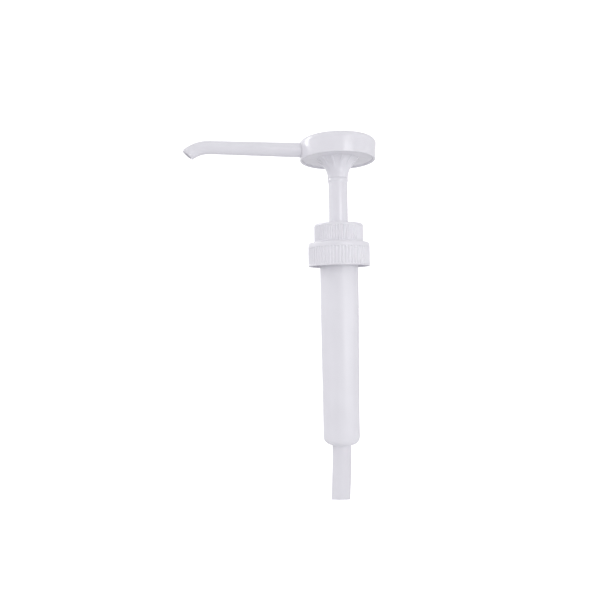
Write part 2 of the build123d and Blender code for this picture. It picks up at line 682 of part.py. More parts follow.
def make_spout():
    """A tapered tube that bends down near its mouth, with a spigot that plugs into the head's socket."""
    outer = spout_solid(SPOUT_ROOT_RADIUS, SPOUT_BEND_RADIUS_OUTSIDE, SPOUT_TIP_RADIUS, MOUTH_OVERRUN)
    inner = spout_solid(
        SPOUT_ROOT_RADIUS - SPOUT_ROOT_WALL,
        SPOUT_BEND_RADIUS_OUTSIDE - SPOUT_WALL,
        SPOUT_TIP_RADIUS - SPOUT_WALL,
        2 * MOUTH_OVERRUN,
    )
    plug_start = SOCKET_FLOOR + 0.5
    outer += along_spout(ring(0, SOCKET_BORE_RADIUS - STATIC, plug_start, SPOUT_SHOULDER + 1))
    body = outer - inner - along_spout(ring(0, SPOUT_BORE_RADIUS, plug_start, SPOUT_SHOULDER + 2))
    mouth = spout_centre(math.radians(SPOUT_BEND), SPOUT_TIP_LENGTH)[0]
    lean = math.radians(SPOUT_BEND + SPOUT_CUT)
    cut = Plane(origin=mouth, x_dir=(0, 1, 0), z_dir=(-math.cos(lean), 0, -math.sin(lean)))
    width = 4 * SPOUT_TIP_RADIUS
    beyond = Box(width, width, 4 * MOUTH_OVERRUN, align=(Align.CENTER, Align.CENTER, Align.MIN))
    return body - cut * beyond


def make_spout_oring():
    """A face seal between the spout's shoulder and the end of the head's socket."""
    section = (SPOUT_SHOULDER - SOCKET_END) / 2 - STATIC
    coil = SOCKET_BORE_RADIUS + section + 0.05
    return along_spout(round_ring(coil, section, (SPOUT_SHOULDER + SOCKET_END) / 2))


PARTS = {
    "head_shell": make_head_shell,
    "head_base": make_head_base,
    "spout": make_spout,
    "spout_oring": make_spout_oring,
    "stem": make_stem,
    "stem_oring": make_stem_oring,
    "piston_body": make_piston_body,
    "piston_seal": make_piston_seal,
    "outlet_ball": make_outlet_ball,
    "outlet_ball_stop": make_outlet_ball_stop,
    "retaining_collar": make_retaining_collar,
    "stem_guide": make_stem_guide,
    "guide_gasket": make_guide_gasket,
    "stem_wiper": make_stem_wiper,
    "screw_closure": make_screw_closure,
    "closure_gasket": make_closure_gasket,
    "barrel": make_barrel,
    "return_spring": make_return_spring,
    "inlet_ball_cage": make_inlet_ball_cage,
    "inlet_ball": make_inlet_ball,
    "dip_tube": make_dip_tube,
}

os.makedirs("parts", exist_ok=True)
for name, make in PARTS.items():
    export_step(make(), f"parts/{name}.step")
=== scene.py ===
"""The looks of the condiment pump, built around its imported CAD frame.

Blender units are metres, in the part's frame. Sizes in this script are millimetres unless their comment
says otherwise, and MM turns them into metres.
"""

import json
import math

import bmesh
import bpy
from mathutils import Matrix, Vector


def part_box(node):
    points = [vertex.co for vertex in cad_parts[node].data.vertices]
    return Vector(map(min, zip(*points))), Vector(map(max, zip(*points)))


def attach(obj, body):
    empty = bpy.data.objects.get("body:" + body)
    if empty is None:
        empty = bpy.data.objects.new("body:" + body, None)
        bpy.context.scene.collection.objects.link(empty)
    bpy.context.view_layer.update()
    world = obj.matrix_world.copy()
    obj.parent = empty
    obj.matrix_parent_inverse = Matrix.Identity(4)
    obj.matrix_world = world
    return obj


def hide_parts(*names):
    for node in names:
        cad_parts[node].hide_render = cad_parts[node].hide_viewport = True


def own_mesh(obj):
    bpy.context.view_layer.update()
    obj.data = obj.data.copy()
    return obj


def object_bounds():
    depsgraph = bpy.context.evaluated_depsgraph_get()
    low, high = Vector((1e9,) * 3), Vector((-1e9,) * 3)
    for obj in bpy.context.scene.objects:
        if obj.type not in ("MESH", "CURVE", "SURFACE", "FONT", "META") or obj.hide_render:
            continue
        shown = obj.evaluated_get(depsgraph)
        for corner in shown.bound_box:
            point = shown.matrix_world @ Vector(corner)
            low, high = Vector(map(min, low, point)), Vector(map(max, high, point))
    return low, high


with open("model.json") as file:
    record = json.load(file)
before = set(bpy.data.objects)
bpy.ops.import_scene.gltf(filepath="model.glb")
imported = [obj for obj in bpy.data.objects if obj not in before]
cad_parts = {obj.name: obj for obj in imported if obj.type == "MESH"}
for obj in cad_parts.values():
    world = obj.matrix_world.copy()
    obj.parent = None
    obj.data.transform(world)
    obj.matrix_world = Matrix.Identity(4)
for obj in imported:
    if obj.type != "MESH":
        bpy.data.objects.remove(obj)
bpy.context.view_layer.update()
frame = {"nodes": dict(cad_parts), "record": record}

MM = 0.001

# ---- materials ----------------------------------------------------------------------------------


class Shader:
    """A Principled material and short calls that add nodes to it.

    A value is a number, a colour, or a pair of a node and the name of its output.
    """

    def __init__(self, name):
        self.material = bpy.data.materials.new(name)
        self.material.use_nodes = True
        self.tree = self.material.node_tree
        self.tree.nodes.clear()
        self.surface = self.add("ShaderNodeBsdfPrincipled")
        output = self.add("ShaderNodeOutputMaterial")
        self.tree.links.new(self.surface.outputs["BSDF"], output.inputs["Surface"])
        self.place = self.add("ShaderNodeTexCoord")

    def add(self, kind, **settings):
        """A new node, with its settings."""
        node = self.tree.nodes.new(kind)
        for key, value in settings.items():
            setattr(node, key, value)
        return node

    def feed(self, node, socket, value):
        """Gives a socket a value."""
        if isinstance(value, tuple) and isinstance(value[0], bpy.types.Node):
            self.tree.links.new(value[0].outputs[value[1]], node.inputs[socket])
        else:
            node.inputs[socket].default_value = value

    def set(self, socket, value):
        """Gives the surface's own socket a value."""
        self.feed(self.surface, socket, value)

    def noise(self, scale, detail=3.0, stretch=(1, 1, 1)):
        """Noise with about scale patches in a metre, longer along an axis whose stretch is small."""
        mapping = self.add("ShaderNodeMapping")
        mapping.inputs["Scale"].default_value = stretch
        self.feed(mapping, "Vector", (self.place, "Object"))
        node = self.add("ShaderNodeTexNoise")
        self.feed(node, "Vector", (mapping, "Vector"))
        self.feed(node, "Scale", scale)
        self.feed(node, "Detail", detail)
        return node, "Fac"

    def cells(self, scale):
        """The distance to the nearest of scattered points, about scale of them in a metre."""
        node = self.add("ShaderNodeTexVoronoi", feature="F1")
        self.feed(node, "Vector", (self.place, "Object"))
        self.feed(node, "Scale", scale)
        return node, "Distance"

    def remap(self, value, low, high, out_low, out_high):
        """A value taken from the range low to high to the range out_low to out_high, and held inside it."""
        node = self.add("ShaderNodeMapRange")
        ends = {"From Min": low, "From Max": high, "To Min": out_low, "To Max": out_high}
        for socket, number in ends.items():
            node.inputs[socket].default_value = number
        self.feed(node, "Value", value)
        return node, "Result"

    def math(self, operation, a, b):
        """The result of an operation on two values."""
        node = self.add("ShaderNodeMath", operation=operation)
        self.feed(node, 0, a)
        self.feed(node, 1, b)
        return node, "Value"

    def mix(self, share, a, b):
        """From colour a to colour b as share goes from 0 to 1."""
        node = self.add("ShaderNodeMix", data_type="RGBA")
        self.feed(node, "Factor", share)
        for name, value in (("A_Color", a), ("B_Color", b)):
            socket = next(s for s in node.inputs if s.identifier == name)
            if isinstance(value[0], bpy.types.Node):
                self.tree.links.new(value[0].outputs[value[1]], socket)
            else:
                socket.default_value = (*value, 1)
        return node, next(i for i, s in enumerate(node.outputs) if s.identifier == "Result_Color")

    def bump(self, *layers):
        """Stacks bump layers of (height value, depth in metres) and wires them to the normal."""
        normal = None
        for height, depth in layers:
            node = self.add("ShaderNodeBump")
            self.feed(node, "Strength", 1.0)
            self.feed(node, "Distance", depth)
            self.feed(node, "Height", height)
            if normal:
                self.feed(node, "Normal", normal)
            normal = (node, "Normal")
        self.set("Normal", normal)


def shade(color, factor):
    """A colour made lighter or darker, and never brighter than full."""
    return tuple(min(1.0, channel * factor) for channel in color)


PLASTIC_IOR = 1.49


def plastic(name, color, roughness, peel_depth, grain=(1, 1, 1)):
    """White moulded plastic: a cloudy tint, scuffs in the gloss, brighter worn edges and a soft peel.

    peel_depth is in metres. grain stretches the scuffs and the peel along each axis whose number is small.
    """
    shader = Shader(name)
    cloud = shader.remap(shader.noise(45, detail=2), 0.35, 0.65, 0, 1)
    tint = shader.mix(cloud, shade(color, 0.985), shade(color, 1.012))
    edge = shader.remap((shader.add("ShaderNodeNewGeometry"), "Pointiness"), 0.515, 0.56, 0, 0.5)
    shader.set("Base Color", shader.mix(edge, tint, shade(color, 1.04)))
    scuff = shader.remap(shader.noise(1100, detail=6, stretch=(1, 0.2, 1)), 0.56, 0.7, 0, 1)
    patch = shader.remap(shader.noise(70, detail=3), 0.48, 0.6, 0, 1)
    wear = shader.math("MULTIPLY", scuff, patch)
    fine = shader.remap(shader.noise(400, detail=4, stretch=grain), 0.3, 0.7, -0.03, 0.03)
    rough = shader.math("ADD", shader.math("MULTIPLY", wear, 0.12), fine)
    shader.set("Roughness", shader.math("ADD", rough, roughness))
    shader.set("IOR", PLASTIC_IOR)
    shader.bump(
        (shader.noise(900, detail=1, stretch=grain), peel_depth),
        (shader.noise(5000, detail=2, stretch=grain), peel_depth * 0.15),
    )
    return shader.material


def black_rubber():
    """Black rubber with a patchy grey bloom."""
    shader = Shader("seal_rubber")
    bloom = shader.remap(shader.noise(300, detail=5), 0.45, 0.7, 0, 1)
    shader.set("Base Color", shader.mix(bloom, (0.012, 0.012, 0.013), (0.035, 0.035, 0.037)))
    shader.set("Roughness", shader.remap(bloom, 0, 1, 0.42, 0.62))
    shader.bump((shader.noise(3500, detail=4), 0.000015))
    return shader.material


def soft_seal():
    """The matt off-white elastomer of the gaskets and wipers."""
    shader = Shader("soft_seal")
    cloud = shader.remap(shader.noise(120, detail=3), 0.35, 0.65, 0, 1)
    shader.set("Base Color", shader.mix(cloud, (0.70, 0.70, 0.68), (0.76, 0.76, 0.73)))
    shader.set("Roughness", shader.remap(shader.noise(900), 0.3, 0.7, 0.5, 0.62))
    shader.set("Sheen Weight", 0.15)
    shader.bump((shader.noise(2500, detail=3), 0.00001))
    return shader.material


def foam_liner():
    """Foamed sheet: closed cells a few tenths of a millimetre across."""
    shader = Shader("foam_liner")
    cell = shader.cells(3800)
    wall = shader.remap(cell, 0.1, 0.8, 0, 1)
    shader.set("Base Color", shader.mix(wall, (0.79, 0.79, 0.77), (0.68, 0.68, 0.66)))
    shader.set("Roughness", 0.75)
    shader.set("Sheen Weight", 0.2)
    shader.bump((cell, 0.00006), (shader.noise(9000), 0.00001))
    return shader.material


def steel():
    """Drawn stainless steel: fine draw lines, a little uneven gloss and a warm grey."""
    shader = Shader("steel")
    lines = shader.noise(4000, detail=4, stretch=(1, 1, 6))
    shader.set("Base Color", shader.mix(lines, (0.52, 0.52, 0.51), (0.66, 0.66, 0.65)))
    shader.set("Metallic", 1.0)
    shader.set("Roughness", shader.remap(shader.noise(600, detail=5), 0.3, 0.7, 0.18, 0.34))
    shader.bump((lines, 0.000004))
    return shader.material


WHITE = (0.80, 0.792, 0.838)
FINISHES = {
    "gloss_white": plastic("gloss_white", WHITE, 0.13, 0.000008),
    "natural_white": plastic("natural_white", shade(WHITE, 1.01), 0.36, 0.000012, grain=(1, 1, 0.15)),
    "tube_white": plastic("tube_white", shade(WHITE, 0.99), 0.34, 0.00002, grain=(1, 1, 0.02)),
    "soft_seal": soft_seal(),
    "seal_rubber": black_rubber(),
    "foam_liner": foam_liner(),
    "steel": steel(),
}
SLIDING_WHITE = plastic("sliding_white", shade(WHITE, 1.01), 0.15, 0.000004, grain=(1, 1, 0.15))
RIBBED_WHITE = plastic("ribbed_white", WHITE, 0.3, 0.000004)
NODE_SLOTS = {part["node"]: part["material_slot"] for part in frame["record"]["subparts"]}


def finish_cad_nodes():
    """Gives each CAD node its slot's material."""
    for name, node in frame["nodes"].items():
        node.data.materials.clear()
        node.data.materials.append(FINISHES[NODE_SLOTS[name]])


finish_cad_nodes()

# ---- sizes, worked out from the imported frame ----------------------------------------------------

LOW, HIGH = 0, 1  # the two corners of a box


def edge_of(node, corner, axis):
    """A coordinate in millimetres of a node's box at rest."""
    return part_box(node)[corner][axis] / MM


def radius_of(node):
    """The radius of a part turned about the pump's axis."""
    return edge_of(node, HIGH, 1)


BREAK = 0.3  # radius of small rounded edges
FLARE_STEPS = 44  # levels up the neck's flare
SPLIT_HEIGHT = 0.03  # of the fine lines that the mould's halves leave

SHELL_RADIUS = radius_of("head_shell")
SHELL_BOTTOM = edge_of("head_shell", LOW, 2)
SHELL_TOP = edge_of("head_shell", HIGH, 2)
SHELL_WALL = 2.3
SHELL_DRAFT = 0.55  # that the side wall leans in towards its foot
SHELL_ROUND = 3.3
SHELL_DOME = 0.4
SHELL_CEILING = 1.5
GATE_DEPTH = 0.15  # of the dimple in the middle of the push face
GATE_FLOOR_RADIUS = 1.3
GATE_RIM_RADIUS = 1.7

SPOUT_HEIGHT = 66.0
SPOUT_START = -edge_of("spout", HIGH, 0)
SPOUT_ROOT_RADIUS = radius_of("spout")
SPOUT_BEND_RADIUS = 4.16
SPOUT_TIP_RADIUS = 4.2
SPOUT_PLUG_RADIUS = 3.68
SPOUT_WALL = 1.1
SPOUT_ROOT_WALL = 1.6
SPOUT_BORE = 2.4
SPOUT_GAP = 0.1
SPOUT_SHOULDER = 22.0
SPOUT_STRAIGHT = 83.6  # reach at which the bend starts
SPOUT_TURN = math.radians(38)
SPOUT_CENTRE_RADIUS = 21.5
SPOUT_BEND_END = SPOUT_STRAIGHT + SPOUT_CENTRE_RADIUS * SPOUT_TURN
SPOUT_MOUTH = SPOUT_BEND_END + 1.2
SPOUT_CUT = math.radians(12)  # that the mouth leans from square

NECK_BOTTOM = edge_of("head_base", LOW, 2)
NECK_RADIUS = 6.7
NECK_FLARE = 14.2
PLATE_BOTTOM = SHELL_BOTTOM + 0.8
PLATE_TOP = PLATE_BOTTOM + 1.5
PLATE_RADIUS = radius_of("head_base")
FIN_FOOT = 52.8
FIN_HEIGHT = 0.9
FIN_HALF = 0.7
FINS = 12
HUB_RADIUS = 7.2
HUB_FOOT = 58.2
HUB_TOP = edge_of("head_base", HIGH, 2)
HUB_BORE = 3.4
SWIVEL_BORE = 5.25
SWIVEL_CEILING = 57.2
SNAP_FOOT, SNAP_TOP, SNAP_RADIUS = 54.4, 55.9, 5.56  # groove that the stem's bead snaps into
SOCKET_RADIUS = 5.0
SOCKET_END = 21.0
PASSAGE_RADIUS = 2.6
PLUG_HOLE_RADIUS = 3.7
PLUG_HOLE_START = 8.5
SHELL_STEP = 21.05  # reach at which the passage widens for the spout's root

STEM_TOP = edge_of("stem", HIGH, 2)
STEM_FOOT = edge_of("stem", LOW, 2)
STEM_RADIUS = 6.35
STEM_BORE = 3.4
STEM_LOWER_BORE = 4.6
STEM_SHOULDER_FOOT = 45.8
STOP_RADIUS = 8.6
SPIGOT_RADIUS = 5.2
SPIGOT_BEAD_RADIUS = 5.48
ORING_GROOVE_DEPTH = 0.88
ORING_GROOVE_FOOT, ORING_GROOVE_TOP = 50.94, 52.06

GRIP_RIBS = 60
RIB_HEIGHT = 0.42
RIB_RADIUS = 0.62
BEAD = 0.8  # height of the plain band under the ribs
CAP_DRAFT = 0.1

COLLAR_RADIUS = radius_of("retaining_collar")
COLLAR_FOOT = edge_of("retaining_collar", LOW, 2)
COLLAR_TOP = edge_of("retaining_collar", HIGH, 2)
COLLAR_SHOULDER = 2.0
COLLAR_FACE = 1.5
COLLAR_ROOT_RADIUS = 13.45
COLLAR_HOLE_RADIUS = 6.75
COLLAR_ROUND = 0.9
CLOSURE_RADIUS = radius_of("screw_closure")
CLOSURE_FOOT = edge_of("screw_closure", LOW, 2)
CLOSURE_TOP = edge_of("screw_closure", HIGH, 2)
CLOSURE_SHOULDER = 3.6
CLOSURE_ROOT_RADIUS = 19.05
CLOSURE_HOLE_RADIUS = 13.6
CLOSURE_ROUND = 1.1

# A thread is its lowest height, pitch, number of turns and height above its wall.
NECK_PITCH = 3.2
NECK_SCREW = (7.0, NECK_PITCH, 1.5, 0.75)
COLLAR_SCREW = (7.0 + NECK_PITCH / 2, NECK_PITCH, 1, 0.8)
JAR_SCREW = (-7.9, 25.4 / 6, 1.25, 1.15)

FLANGE_RADIUS = radius_of("barrel")
FLANGE_FOOT = edge_of("closure_gasket", HIGH, 2)
FLANGE_TOP = FLANGE_FOOT + 1.6
BARREL_TOP = edge_of("barrel", HIGH, 2)
BARREL_FOOT = edge_of("barrel", LOW, 2)
BARREL_RADIUS = 12.7
BARREL_LOWER_RADIUS = 12.15
BARREL_TAPER_TOP, BARREL_TAPER_FOOT = -41, -108
BARREL_ROUND = 4.4
BORE_RADIUS = 11.0
BORE_FLOOR = -122
NECK_WALL_RADIUS = 12.4
SEAT_TUBE_RADIUS = 8.0
SEAT_TOP = -112
SEAT_CONE_TOP, SEAT_CONE_FOOT = -113.1, -115.5
SEAT_RADIUS = 5.4
SEAT_BORE = 3.0
VENT_RADIUS = 0.8
VENT_HEIGHT = -5

TUBE_TOP = edge_of("dip_tube", HIGH, 2)
TUBE_RADIUS = radius_of("dip_tube")
TUBE_BORE = 4.75
TUBE_SET_RADIUS = 550.0  # of the slight bend that the tube has kept
TUBE_END = -165.4  # where the slanted cut crosses the axis
TUBE_SLANT = math.tan(math.radians(20.6))
TUBE_HEADING = math.radians(9.4)
TUBE_CUT_REACH = 6  # length over which the rings lean to meet the cut

SPRING_FOOT = edge_of("return_spring", LOW, 2)
SPRING_TOP = edge_of("return_spring", HIGH, 2)
SPRING_WIRE = 0.7
SPRING_COIL = 9.0
SPRING_TURNS = 9
CLOSED_PITCH, OPENING = 1.45, 5.0  # relative rise of the end turns, and what the free ones have more

# ---- mesh builders ------------------------------------------------------------------------------

SHARP_ANGLE = math.radians(38)  # above which an edge is left crisp
TINY = 1e-6


def rounded(*corners, steps=6):
    """An outline of (radius, height) points from (radius, height, fillet) corners, each fillet an arc."""
    points = []
    for index, (radius, height, fillet) in enumerate(corners):
        corner = Vector((radius, height))
        if not fillet:
            points.append(tuple(corner))
            continue
        before = (Vector(corners[index - 1][:2]) - corner).normalized()
        after = (Vector(corners[(index + 1) % len(corners)][:2]) - corner).normalized()
        half = before.angle(after) / 2
        middle = corner + (before + after).normalized() * (fillet / math.sin(half))
        start, end = (corner + leg * (fillet / math.tan(half)) - middle for leg in (before, after))
        first = math.atan2(start.y, start.x)
        swing = (math.atan2(end.y, end.x) - first + math.pi) % math.tau - math.pi
        for step in range(steps + 1):
            angle = first + swing * step / steps
            points.append((middle.x + fillet * math.cos(angle), middle.y + fillet * math.sin(angle)))
    return points


def line(start, end, count):
    """count points along a straight line, without its ends."""
    shares = [(step + 1) / (count + 1) for step in range(count)]
    return [tuple(a + (b - a) * share for a, b in zip(start, end)) for share in shares]


def compass(azimuth):
    """The level unit vector at an azimuth in degrees from +X."""
    return Vector((math.cos(math.radians(azimuth)), math.sin(math.radians(azimuth)), 0))


def upright(radius, height, angle):
    """The point of a solid turned about the pump's axis."""
    return Vector((radius * math.cos(angle), radius * math.sin(angle), height))


def make_mesh(name, mesh):
    """Turns a bmesh into a smooth-shaded object whose corners stay crisp."""
    bmesh.ops.recalc_face_normals(mesh, faces=mesh.faces)
    data = bpy.data.meshes.new(name)
    mesh.to_mesh(data)
    mesh.free()
    return finish_mesh(bpy.data.objects.new(name, data))


def finish_mesh(obj):
    """Smooth shading with crisp corners, and flat faces that stay flat."""
    obj.data.polygons.foreach_set("use_smooth", [True] * len(obj.data.polygons))
    obj.data.set_sharp_from_angle(angle=SHARP_ANGLE)
    if "weighted_normals" not in obj.modifiers:
        obj.modifiers.new("weighted_normals", "WEIGHTED_NORMAL").keep_sharp = True
    return obj


def turn(name, outline, segments=240, shape=None, put=upright):
    """A closed solid from an outline of (radius, height) points turned about an axis.

    shape moves a point (radius, height, angle) in the outline's plane, and put places it in space.
    """
    mesh = bmesh.new()
    rings = []
    for radius, height in outline:
        if radius < TINY:
            rings.append([mesh.verts.new(put(0, height, 0) * MM)])
            continue
        ring = []
        for step in range(segments):
            angle = math.tau * step / segments
            moved = shape(radius, height, angle) if shape else (radius, height)
            ring.append(mesh.verts.new(put(*moved, angle) * MM))
        rings.append(ring)
    for index, ring in enumerate(rings):
        other = rings[(index + 1) % len(rings)]
        if len(ring) == len(other) == 1:
            continue
        for step in range(segments):
            along = [ring[number % len(ring)] for number in (step, step + 1)]
            back = [other[number % len(other)] for number in (step + 1, step)]
            mesh.faces.new(dict.fromkeys(along + back))
    return make_mesh(name, mesh)


def carve(obj, tool, operation="DIFFERENCE"):
    """Cuts a tool out of an object, or joins it on, and throws the tool away."""
    place(obj)
    place(tool)
    modifier = obj.modifiers.new("carve", "BOOLEAN")
    modifier.operation = operation
    modifier.solver = "EXACT"
    modifier.object = tool
    weighted = obj.modifiers["weighted_normals"]
    obj.modifiers.remove(weighted)
    evaluated = obj.evaluated_get(bpy.context.evaluated_depsgraph_get())
    data = bpy.data.meshes.new_from_object(evaluated)
    obj.modifiers.clear()
    obj.data = data
    data.name = obj.name
    bpy.data.objects.remove(tool)
    bpy.context.scene.collection.objects.unlink(obj)
    return finish_mesh(obj)


def place(obj):
    """Puts an object in the scene."""
    bpy.context.scene.collection.objects.link(obj)
    return obj


def smooth_step(value, low, high):
    """0 up to low and 1 from high on, with a soft slope between them."""
    share = min(1.0, max(0.0, (value - low) / (high - low)))
    return share * share * (3 - 2 * share)


def rib(radius, angle):
    """The height at an angle of the grip ribs' round tops above their wall."""
    pitch = math.tau / GRIP_RIBS
    away = abs((angle + pitch / 2) % pitch - pitch / 2) * radius
    inside = RIB_RADIUS**2 - away**2
    return max(0.0, math.sqrt(max(0.0, inside)) - RIB_RADIUS + RIB_HEIGHT)


def on_split(angle):
    """Whether an angle lies on one of the two lines where the mould's halves met."""
    return abs(math.sin(angle)) < 1e-3


THREAD_FADE = 0.06  # turns over which a ridge fades out
THREAD_HALF, THREAD_FLANK = 0.22, 0.12  # half of a ridge's foot and its flank, as shares of the pitch


def thread(angle, height, bottom, pitch, turns, depth):
    """The height above its wall of a helical ridge that fades out at its ends."""
    best = 0.0
    for start in range(math.ceil(turns)):
        travel = angle / math.tau + start
        fade = smooth_step(travel, 0, THREAD_FADE) * smooth_step(turns - travel, 0, THREAD_FADE)
        away = abs(height - bottom - pitch * travel)
        flank = (THREAD_HALF * pitch - away) / (THREAD_FLANK * pitch)
        best = max(best, fade * min(1.0, max(0.0, flank)))
    return depth * best


# ---- head and spout -----------------------------------------------------------------------------


def along_spout(radius, reach, angle):
    """The point at a distance along the spout's centreline, which bends down near the mouth."""
    turned = min(max(reach - SPOUT_STRAIGHT, 0) / SPOUT_CENTRE_RADIUS, SPOUT_TURN)
    ahead = Vector((-math.cos(turned), 0, -math.sin(turned)))
    above = Vector((-math.sin(turned), 0, math.cos(turned)))
    straight = min(reach, SPOUT_STRAIGHT) + max(reach - SPOUT_BEND_END, 0)
    centre = Vector((-SPOUT_STRAIGHT, 0, SPOUT_HEIGHT))
    centre += SPOUT_CENTRE_RADIUS * (Vector((0, 0, -1)) + above)
    centre += ahead * (straight - SPOUT_STRAIGHT)
    return centre + radius * (math.cos(angle) * above + math.sin(angle) * Vector((0, 1, 0)))


def head_shell():
    """The push face and side wall, with a gate mark in the middle of the face and a hole for the spout."""
    foot = SHELL_RADIUS - SHELL_DRAFT
    bore = SHELL_RADIUS - SHELL_WALL
    rim = SHELL_TOP - SHELL_DOME
    ceiling = rim - SHELL_CEILING
    outline = rounded(
        (0, SHELL_TOP - GATE_DEPTH, 0),
        (GATE_FLOOR_RADIUS, SHELL_TOP - GATE_DEPTH, 0.1),
        (GATE_RIM_RADIUS, SHELL_TOP, 0.2),
        (6.0, SHELL_TOP - 0.02, 0),
        (12.0, SHELL_TOP - SHELL_DOME * 0.25, 0),
        (17.0, SHELL_TOP - SHELL_DOME * 0.5, 0),
        (SHELL_RADIUS, rim, SHELL_ROUND),
        (SHELL_RADIUS, rim - SHELL_ROUND - 0.1, 0),
        (foot, SHELL_BOTTOM, 0.5),
        (bore, SHELL_BOTTOM, 0.7),
        (bore, ceiling, 0.5),
        (HUB_RADIUS + 3, ceiling, 0),
        (0, ceiling, 0),
        steps=10,
    )
    hole = rounded(
        (0, SPOUT_SHOULDER, 0),
        (SPOUT_ROOT_RADIUS + SPOUT_GAP, SPOUT_SHOULDER, 0),
        (SPOUT_ROOT_RADIUS + SPOUT_GAP, SHELL_RADIUS + 1, 0),
        (0, SHELL_RADIUS + 1, 0),
    )
    shell = turn("push_disc", outline, 320)
    return carve(shell, turn("hole", hole, 96, put=along_spout))


def flare_radius(height):
    """The neck's radius at a height, on a quarter circle that opens upwards."""
    return NECK_RADIUS + NECK_FLARE - math.sqrt(NECK_FLARE**2 - (height - NECK_BOTTOM) ** 2)


def fin_depth(height):
    """How far the hollows between the fins lie under the flare at a height."""
    return FIN_HEIGHT * smooth_step(height, FIN_FOOT, PLATE_BOTTOM)


def head_base():
    """The underside plate and the flared neck with its low fins, and inside it the passage to the spout."""

    def finned(radius, height, angle):
        """Sinks the flare between the fins."""
        if not FIN_FOOT < height <= PLATE_BOTTOM:
            return radius, height
        if not NECK_RADIUS <= radius <= flare_radius(height) + 0.01:
            return radius, height
        pitch = math.tau / FINS
        away = radius * abs(math.sin((angle + pitch / 2) % pitch - pitch / 2))
        return radius - fin_depth(height) * smooth_step(away, FIN_HALF - 0.2, FIN_HALF + 0.3), height

    rise = PLATE_BOTTOM - NECK_BOTTOM
    levels = [NECK_BOTTOM + rise * (step / FLARE_STEPS) for step in range(1, FLARE_STEPS + 1)]
    outline = rounded(
        (0, SPOUT_HEIGHT, 0),
        (HUB_BORE, SPOUT_HEIGHT, 0),
        (HUB_BORE, SWIVEL_CEILING, 0),
        (SWIVEL_BORE, SWIVEL_CEILING, 0),
        (SWIVEL_BORE, SNAP_TOP, 0),
        (SNAP_RADIUS, SNAP_TOP, 0),
        (SNAP_RADIUS, SNAP_FOOT, 0),
        (SWIVEL_BORE, SNAP_FOOT, 0),
        (SWIVEL_BORE, NECK_BOTTOM, 0.15),
        (NECK_RADIUS, NECK_BOTTOM, 0.12),
    )
    outline += [(flare_radius(level), level) for level in levels if level > NECK_BOTTOM + BREAK]
    outline += rounded(
        (PLATE_RADIUS - 0.5, PLATE_BOTTOM, 0),
        (PLATE_RADIUS, PLATE_BOTTOM, 0.15),
        (PLATE_RADIUS, PLATE_TOP, 0),
        (12.0, PLATE_TOP, 0.4),
        (8.0, HUB_FOOT, BREAK),
        (HUB_RADIUS, HUB_FOOT, BREAK),
        (HUB_RADIUS, HUB_TOP, BREAK),
        (0, HUB_TOP, 0),
        steps=3,
    )
    socket = rounded((0, 0, 0), (SOCKET_RADIUS, 0, 0), (SOCKET_RADIUS, SOCKET_END, 0), (0, SOCKET_END, 0))
    passage = rounded(
        (0, -PASSAGE_RADIUS, 0),
        (PASSAGE_RADIUS, -PASSAGE_RADIUS, 0),
        (PASSAGE_RADIUS, PLUG_HOLE_START, 0),
        (PLUG_HOLE_RADIUS, PLUG_HOLE_START, 0),
        (PLUG_HOLE_RADIUS, SHELL_STEP, 0),
        (SPOUT_ROOT_RADIUS + SPOUT_GAP, SHELL_STEP, 0),
        (SPOUT_ROOT_RADIUS + SPOUT_GAP, SHELL_RADIUS, 0),
        (0, SHELL_RADIUS, 0),
    )
    base = turn("swivel_neck", outline, 480, finned)
    base = carve(base, turn("socket", socket, 96, put=along_spout), "UNION")
    return carve(base, turn("passage", passage, 96, put=along_spout))


def spout():
    """The tapered tube with its split lines, a bend near the mouth, and a plug in the head's socket."""

    def mouth_cut(radius, reach, angle):
        """Leans the mouth's rings and raises the split lines."""
        lean = smooth_step(reach, SPOUT_MOUTH - 2.4, SPOUT_MOUTH - 0.2)
        split = SPLIT_HEIGHT * on_split(angle) * (radius > SPOUT_WALL + SPOUT_BORE)
        skewed = reach + lean * radius * math.cos(angle) * math.tan(SPOUT_CUT)
        return radius + split * (1 - lean), skewed

    bend_end = SPOUT_MOUTH - 1.2
    bend_length = bend_end - SPOUT_STRAIGHT
    bends = [step / 28 for step in range(1, 28)]
    growth = SPOUT_TIP_RADIUS - SPOUT_BEND_RADIUS
    inner_tip = SPOUT_TIP_RADIUS - SPOUT_WALL
    inner_bend = SPOUT_BEND_RADIUS - SPOUT_WALL
    root, bend = (SPOUT_ROOT_RADIUS, SPOUT_SHOULDER + 0.3), (SPOUT_BEND_RADIUS, SPOUT_STRAIGHT)
    outline = rounded(
        (SPOUT_BORE, SPOUT_START, 0.2),
        (SPOUT_PLUG_RADIUS, SPOUT_START, BREAK),
        (SPOUT_PLUG_RADIUS, SPOUT_SHOULDER, 0),
        (SPOUT_ROOT_RADIUS, SPOUT_SHOULDER, 0.2),
    )
    outline += line(root, bend, 30) + [bend]
    outline += [(SPOUT_BEND_RADIUS + growth * s, SPOUT_STRAIGHT + bend_length * s) for s in bends]
    outline += rounded(
        (SPOUT_TIP_RADIUS, bend_end, 0),
        (SPOUT_TIP_RADIUS, SPOUT_MOUTH, 0.25),
        (inner_tip, SPOUT_MOUTH, 0.25),
        (inner_tip, bend_end, 0),
    )
    outline += [(inner_bend + growth * s, SPOUT_STRAIGHT + bend_length * s) for s in reversed(bends)]
    outline += [
        (inner_bend, SPOUT_STRAIGHT),
        (SPOUT_ROOT_RADIUS - SPOUT_ROOT_WALL, SPOUT_SHOULDER),
        (SPOUT_BORE, SPOUT_SHOULDER),
    ]
    return turn("spout_tube", outline, 128, mouth_cut, along_spout)


# ---- stem, collar, closure ----------------------------------------------------------------------


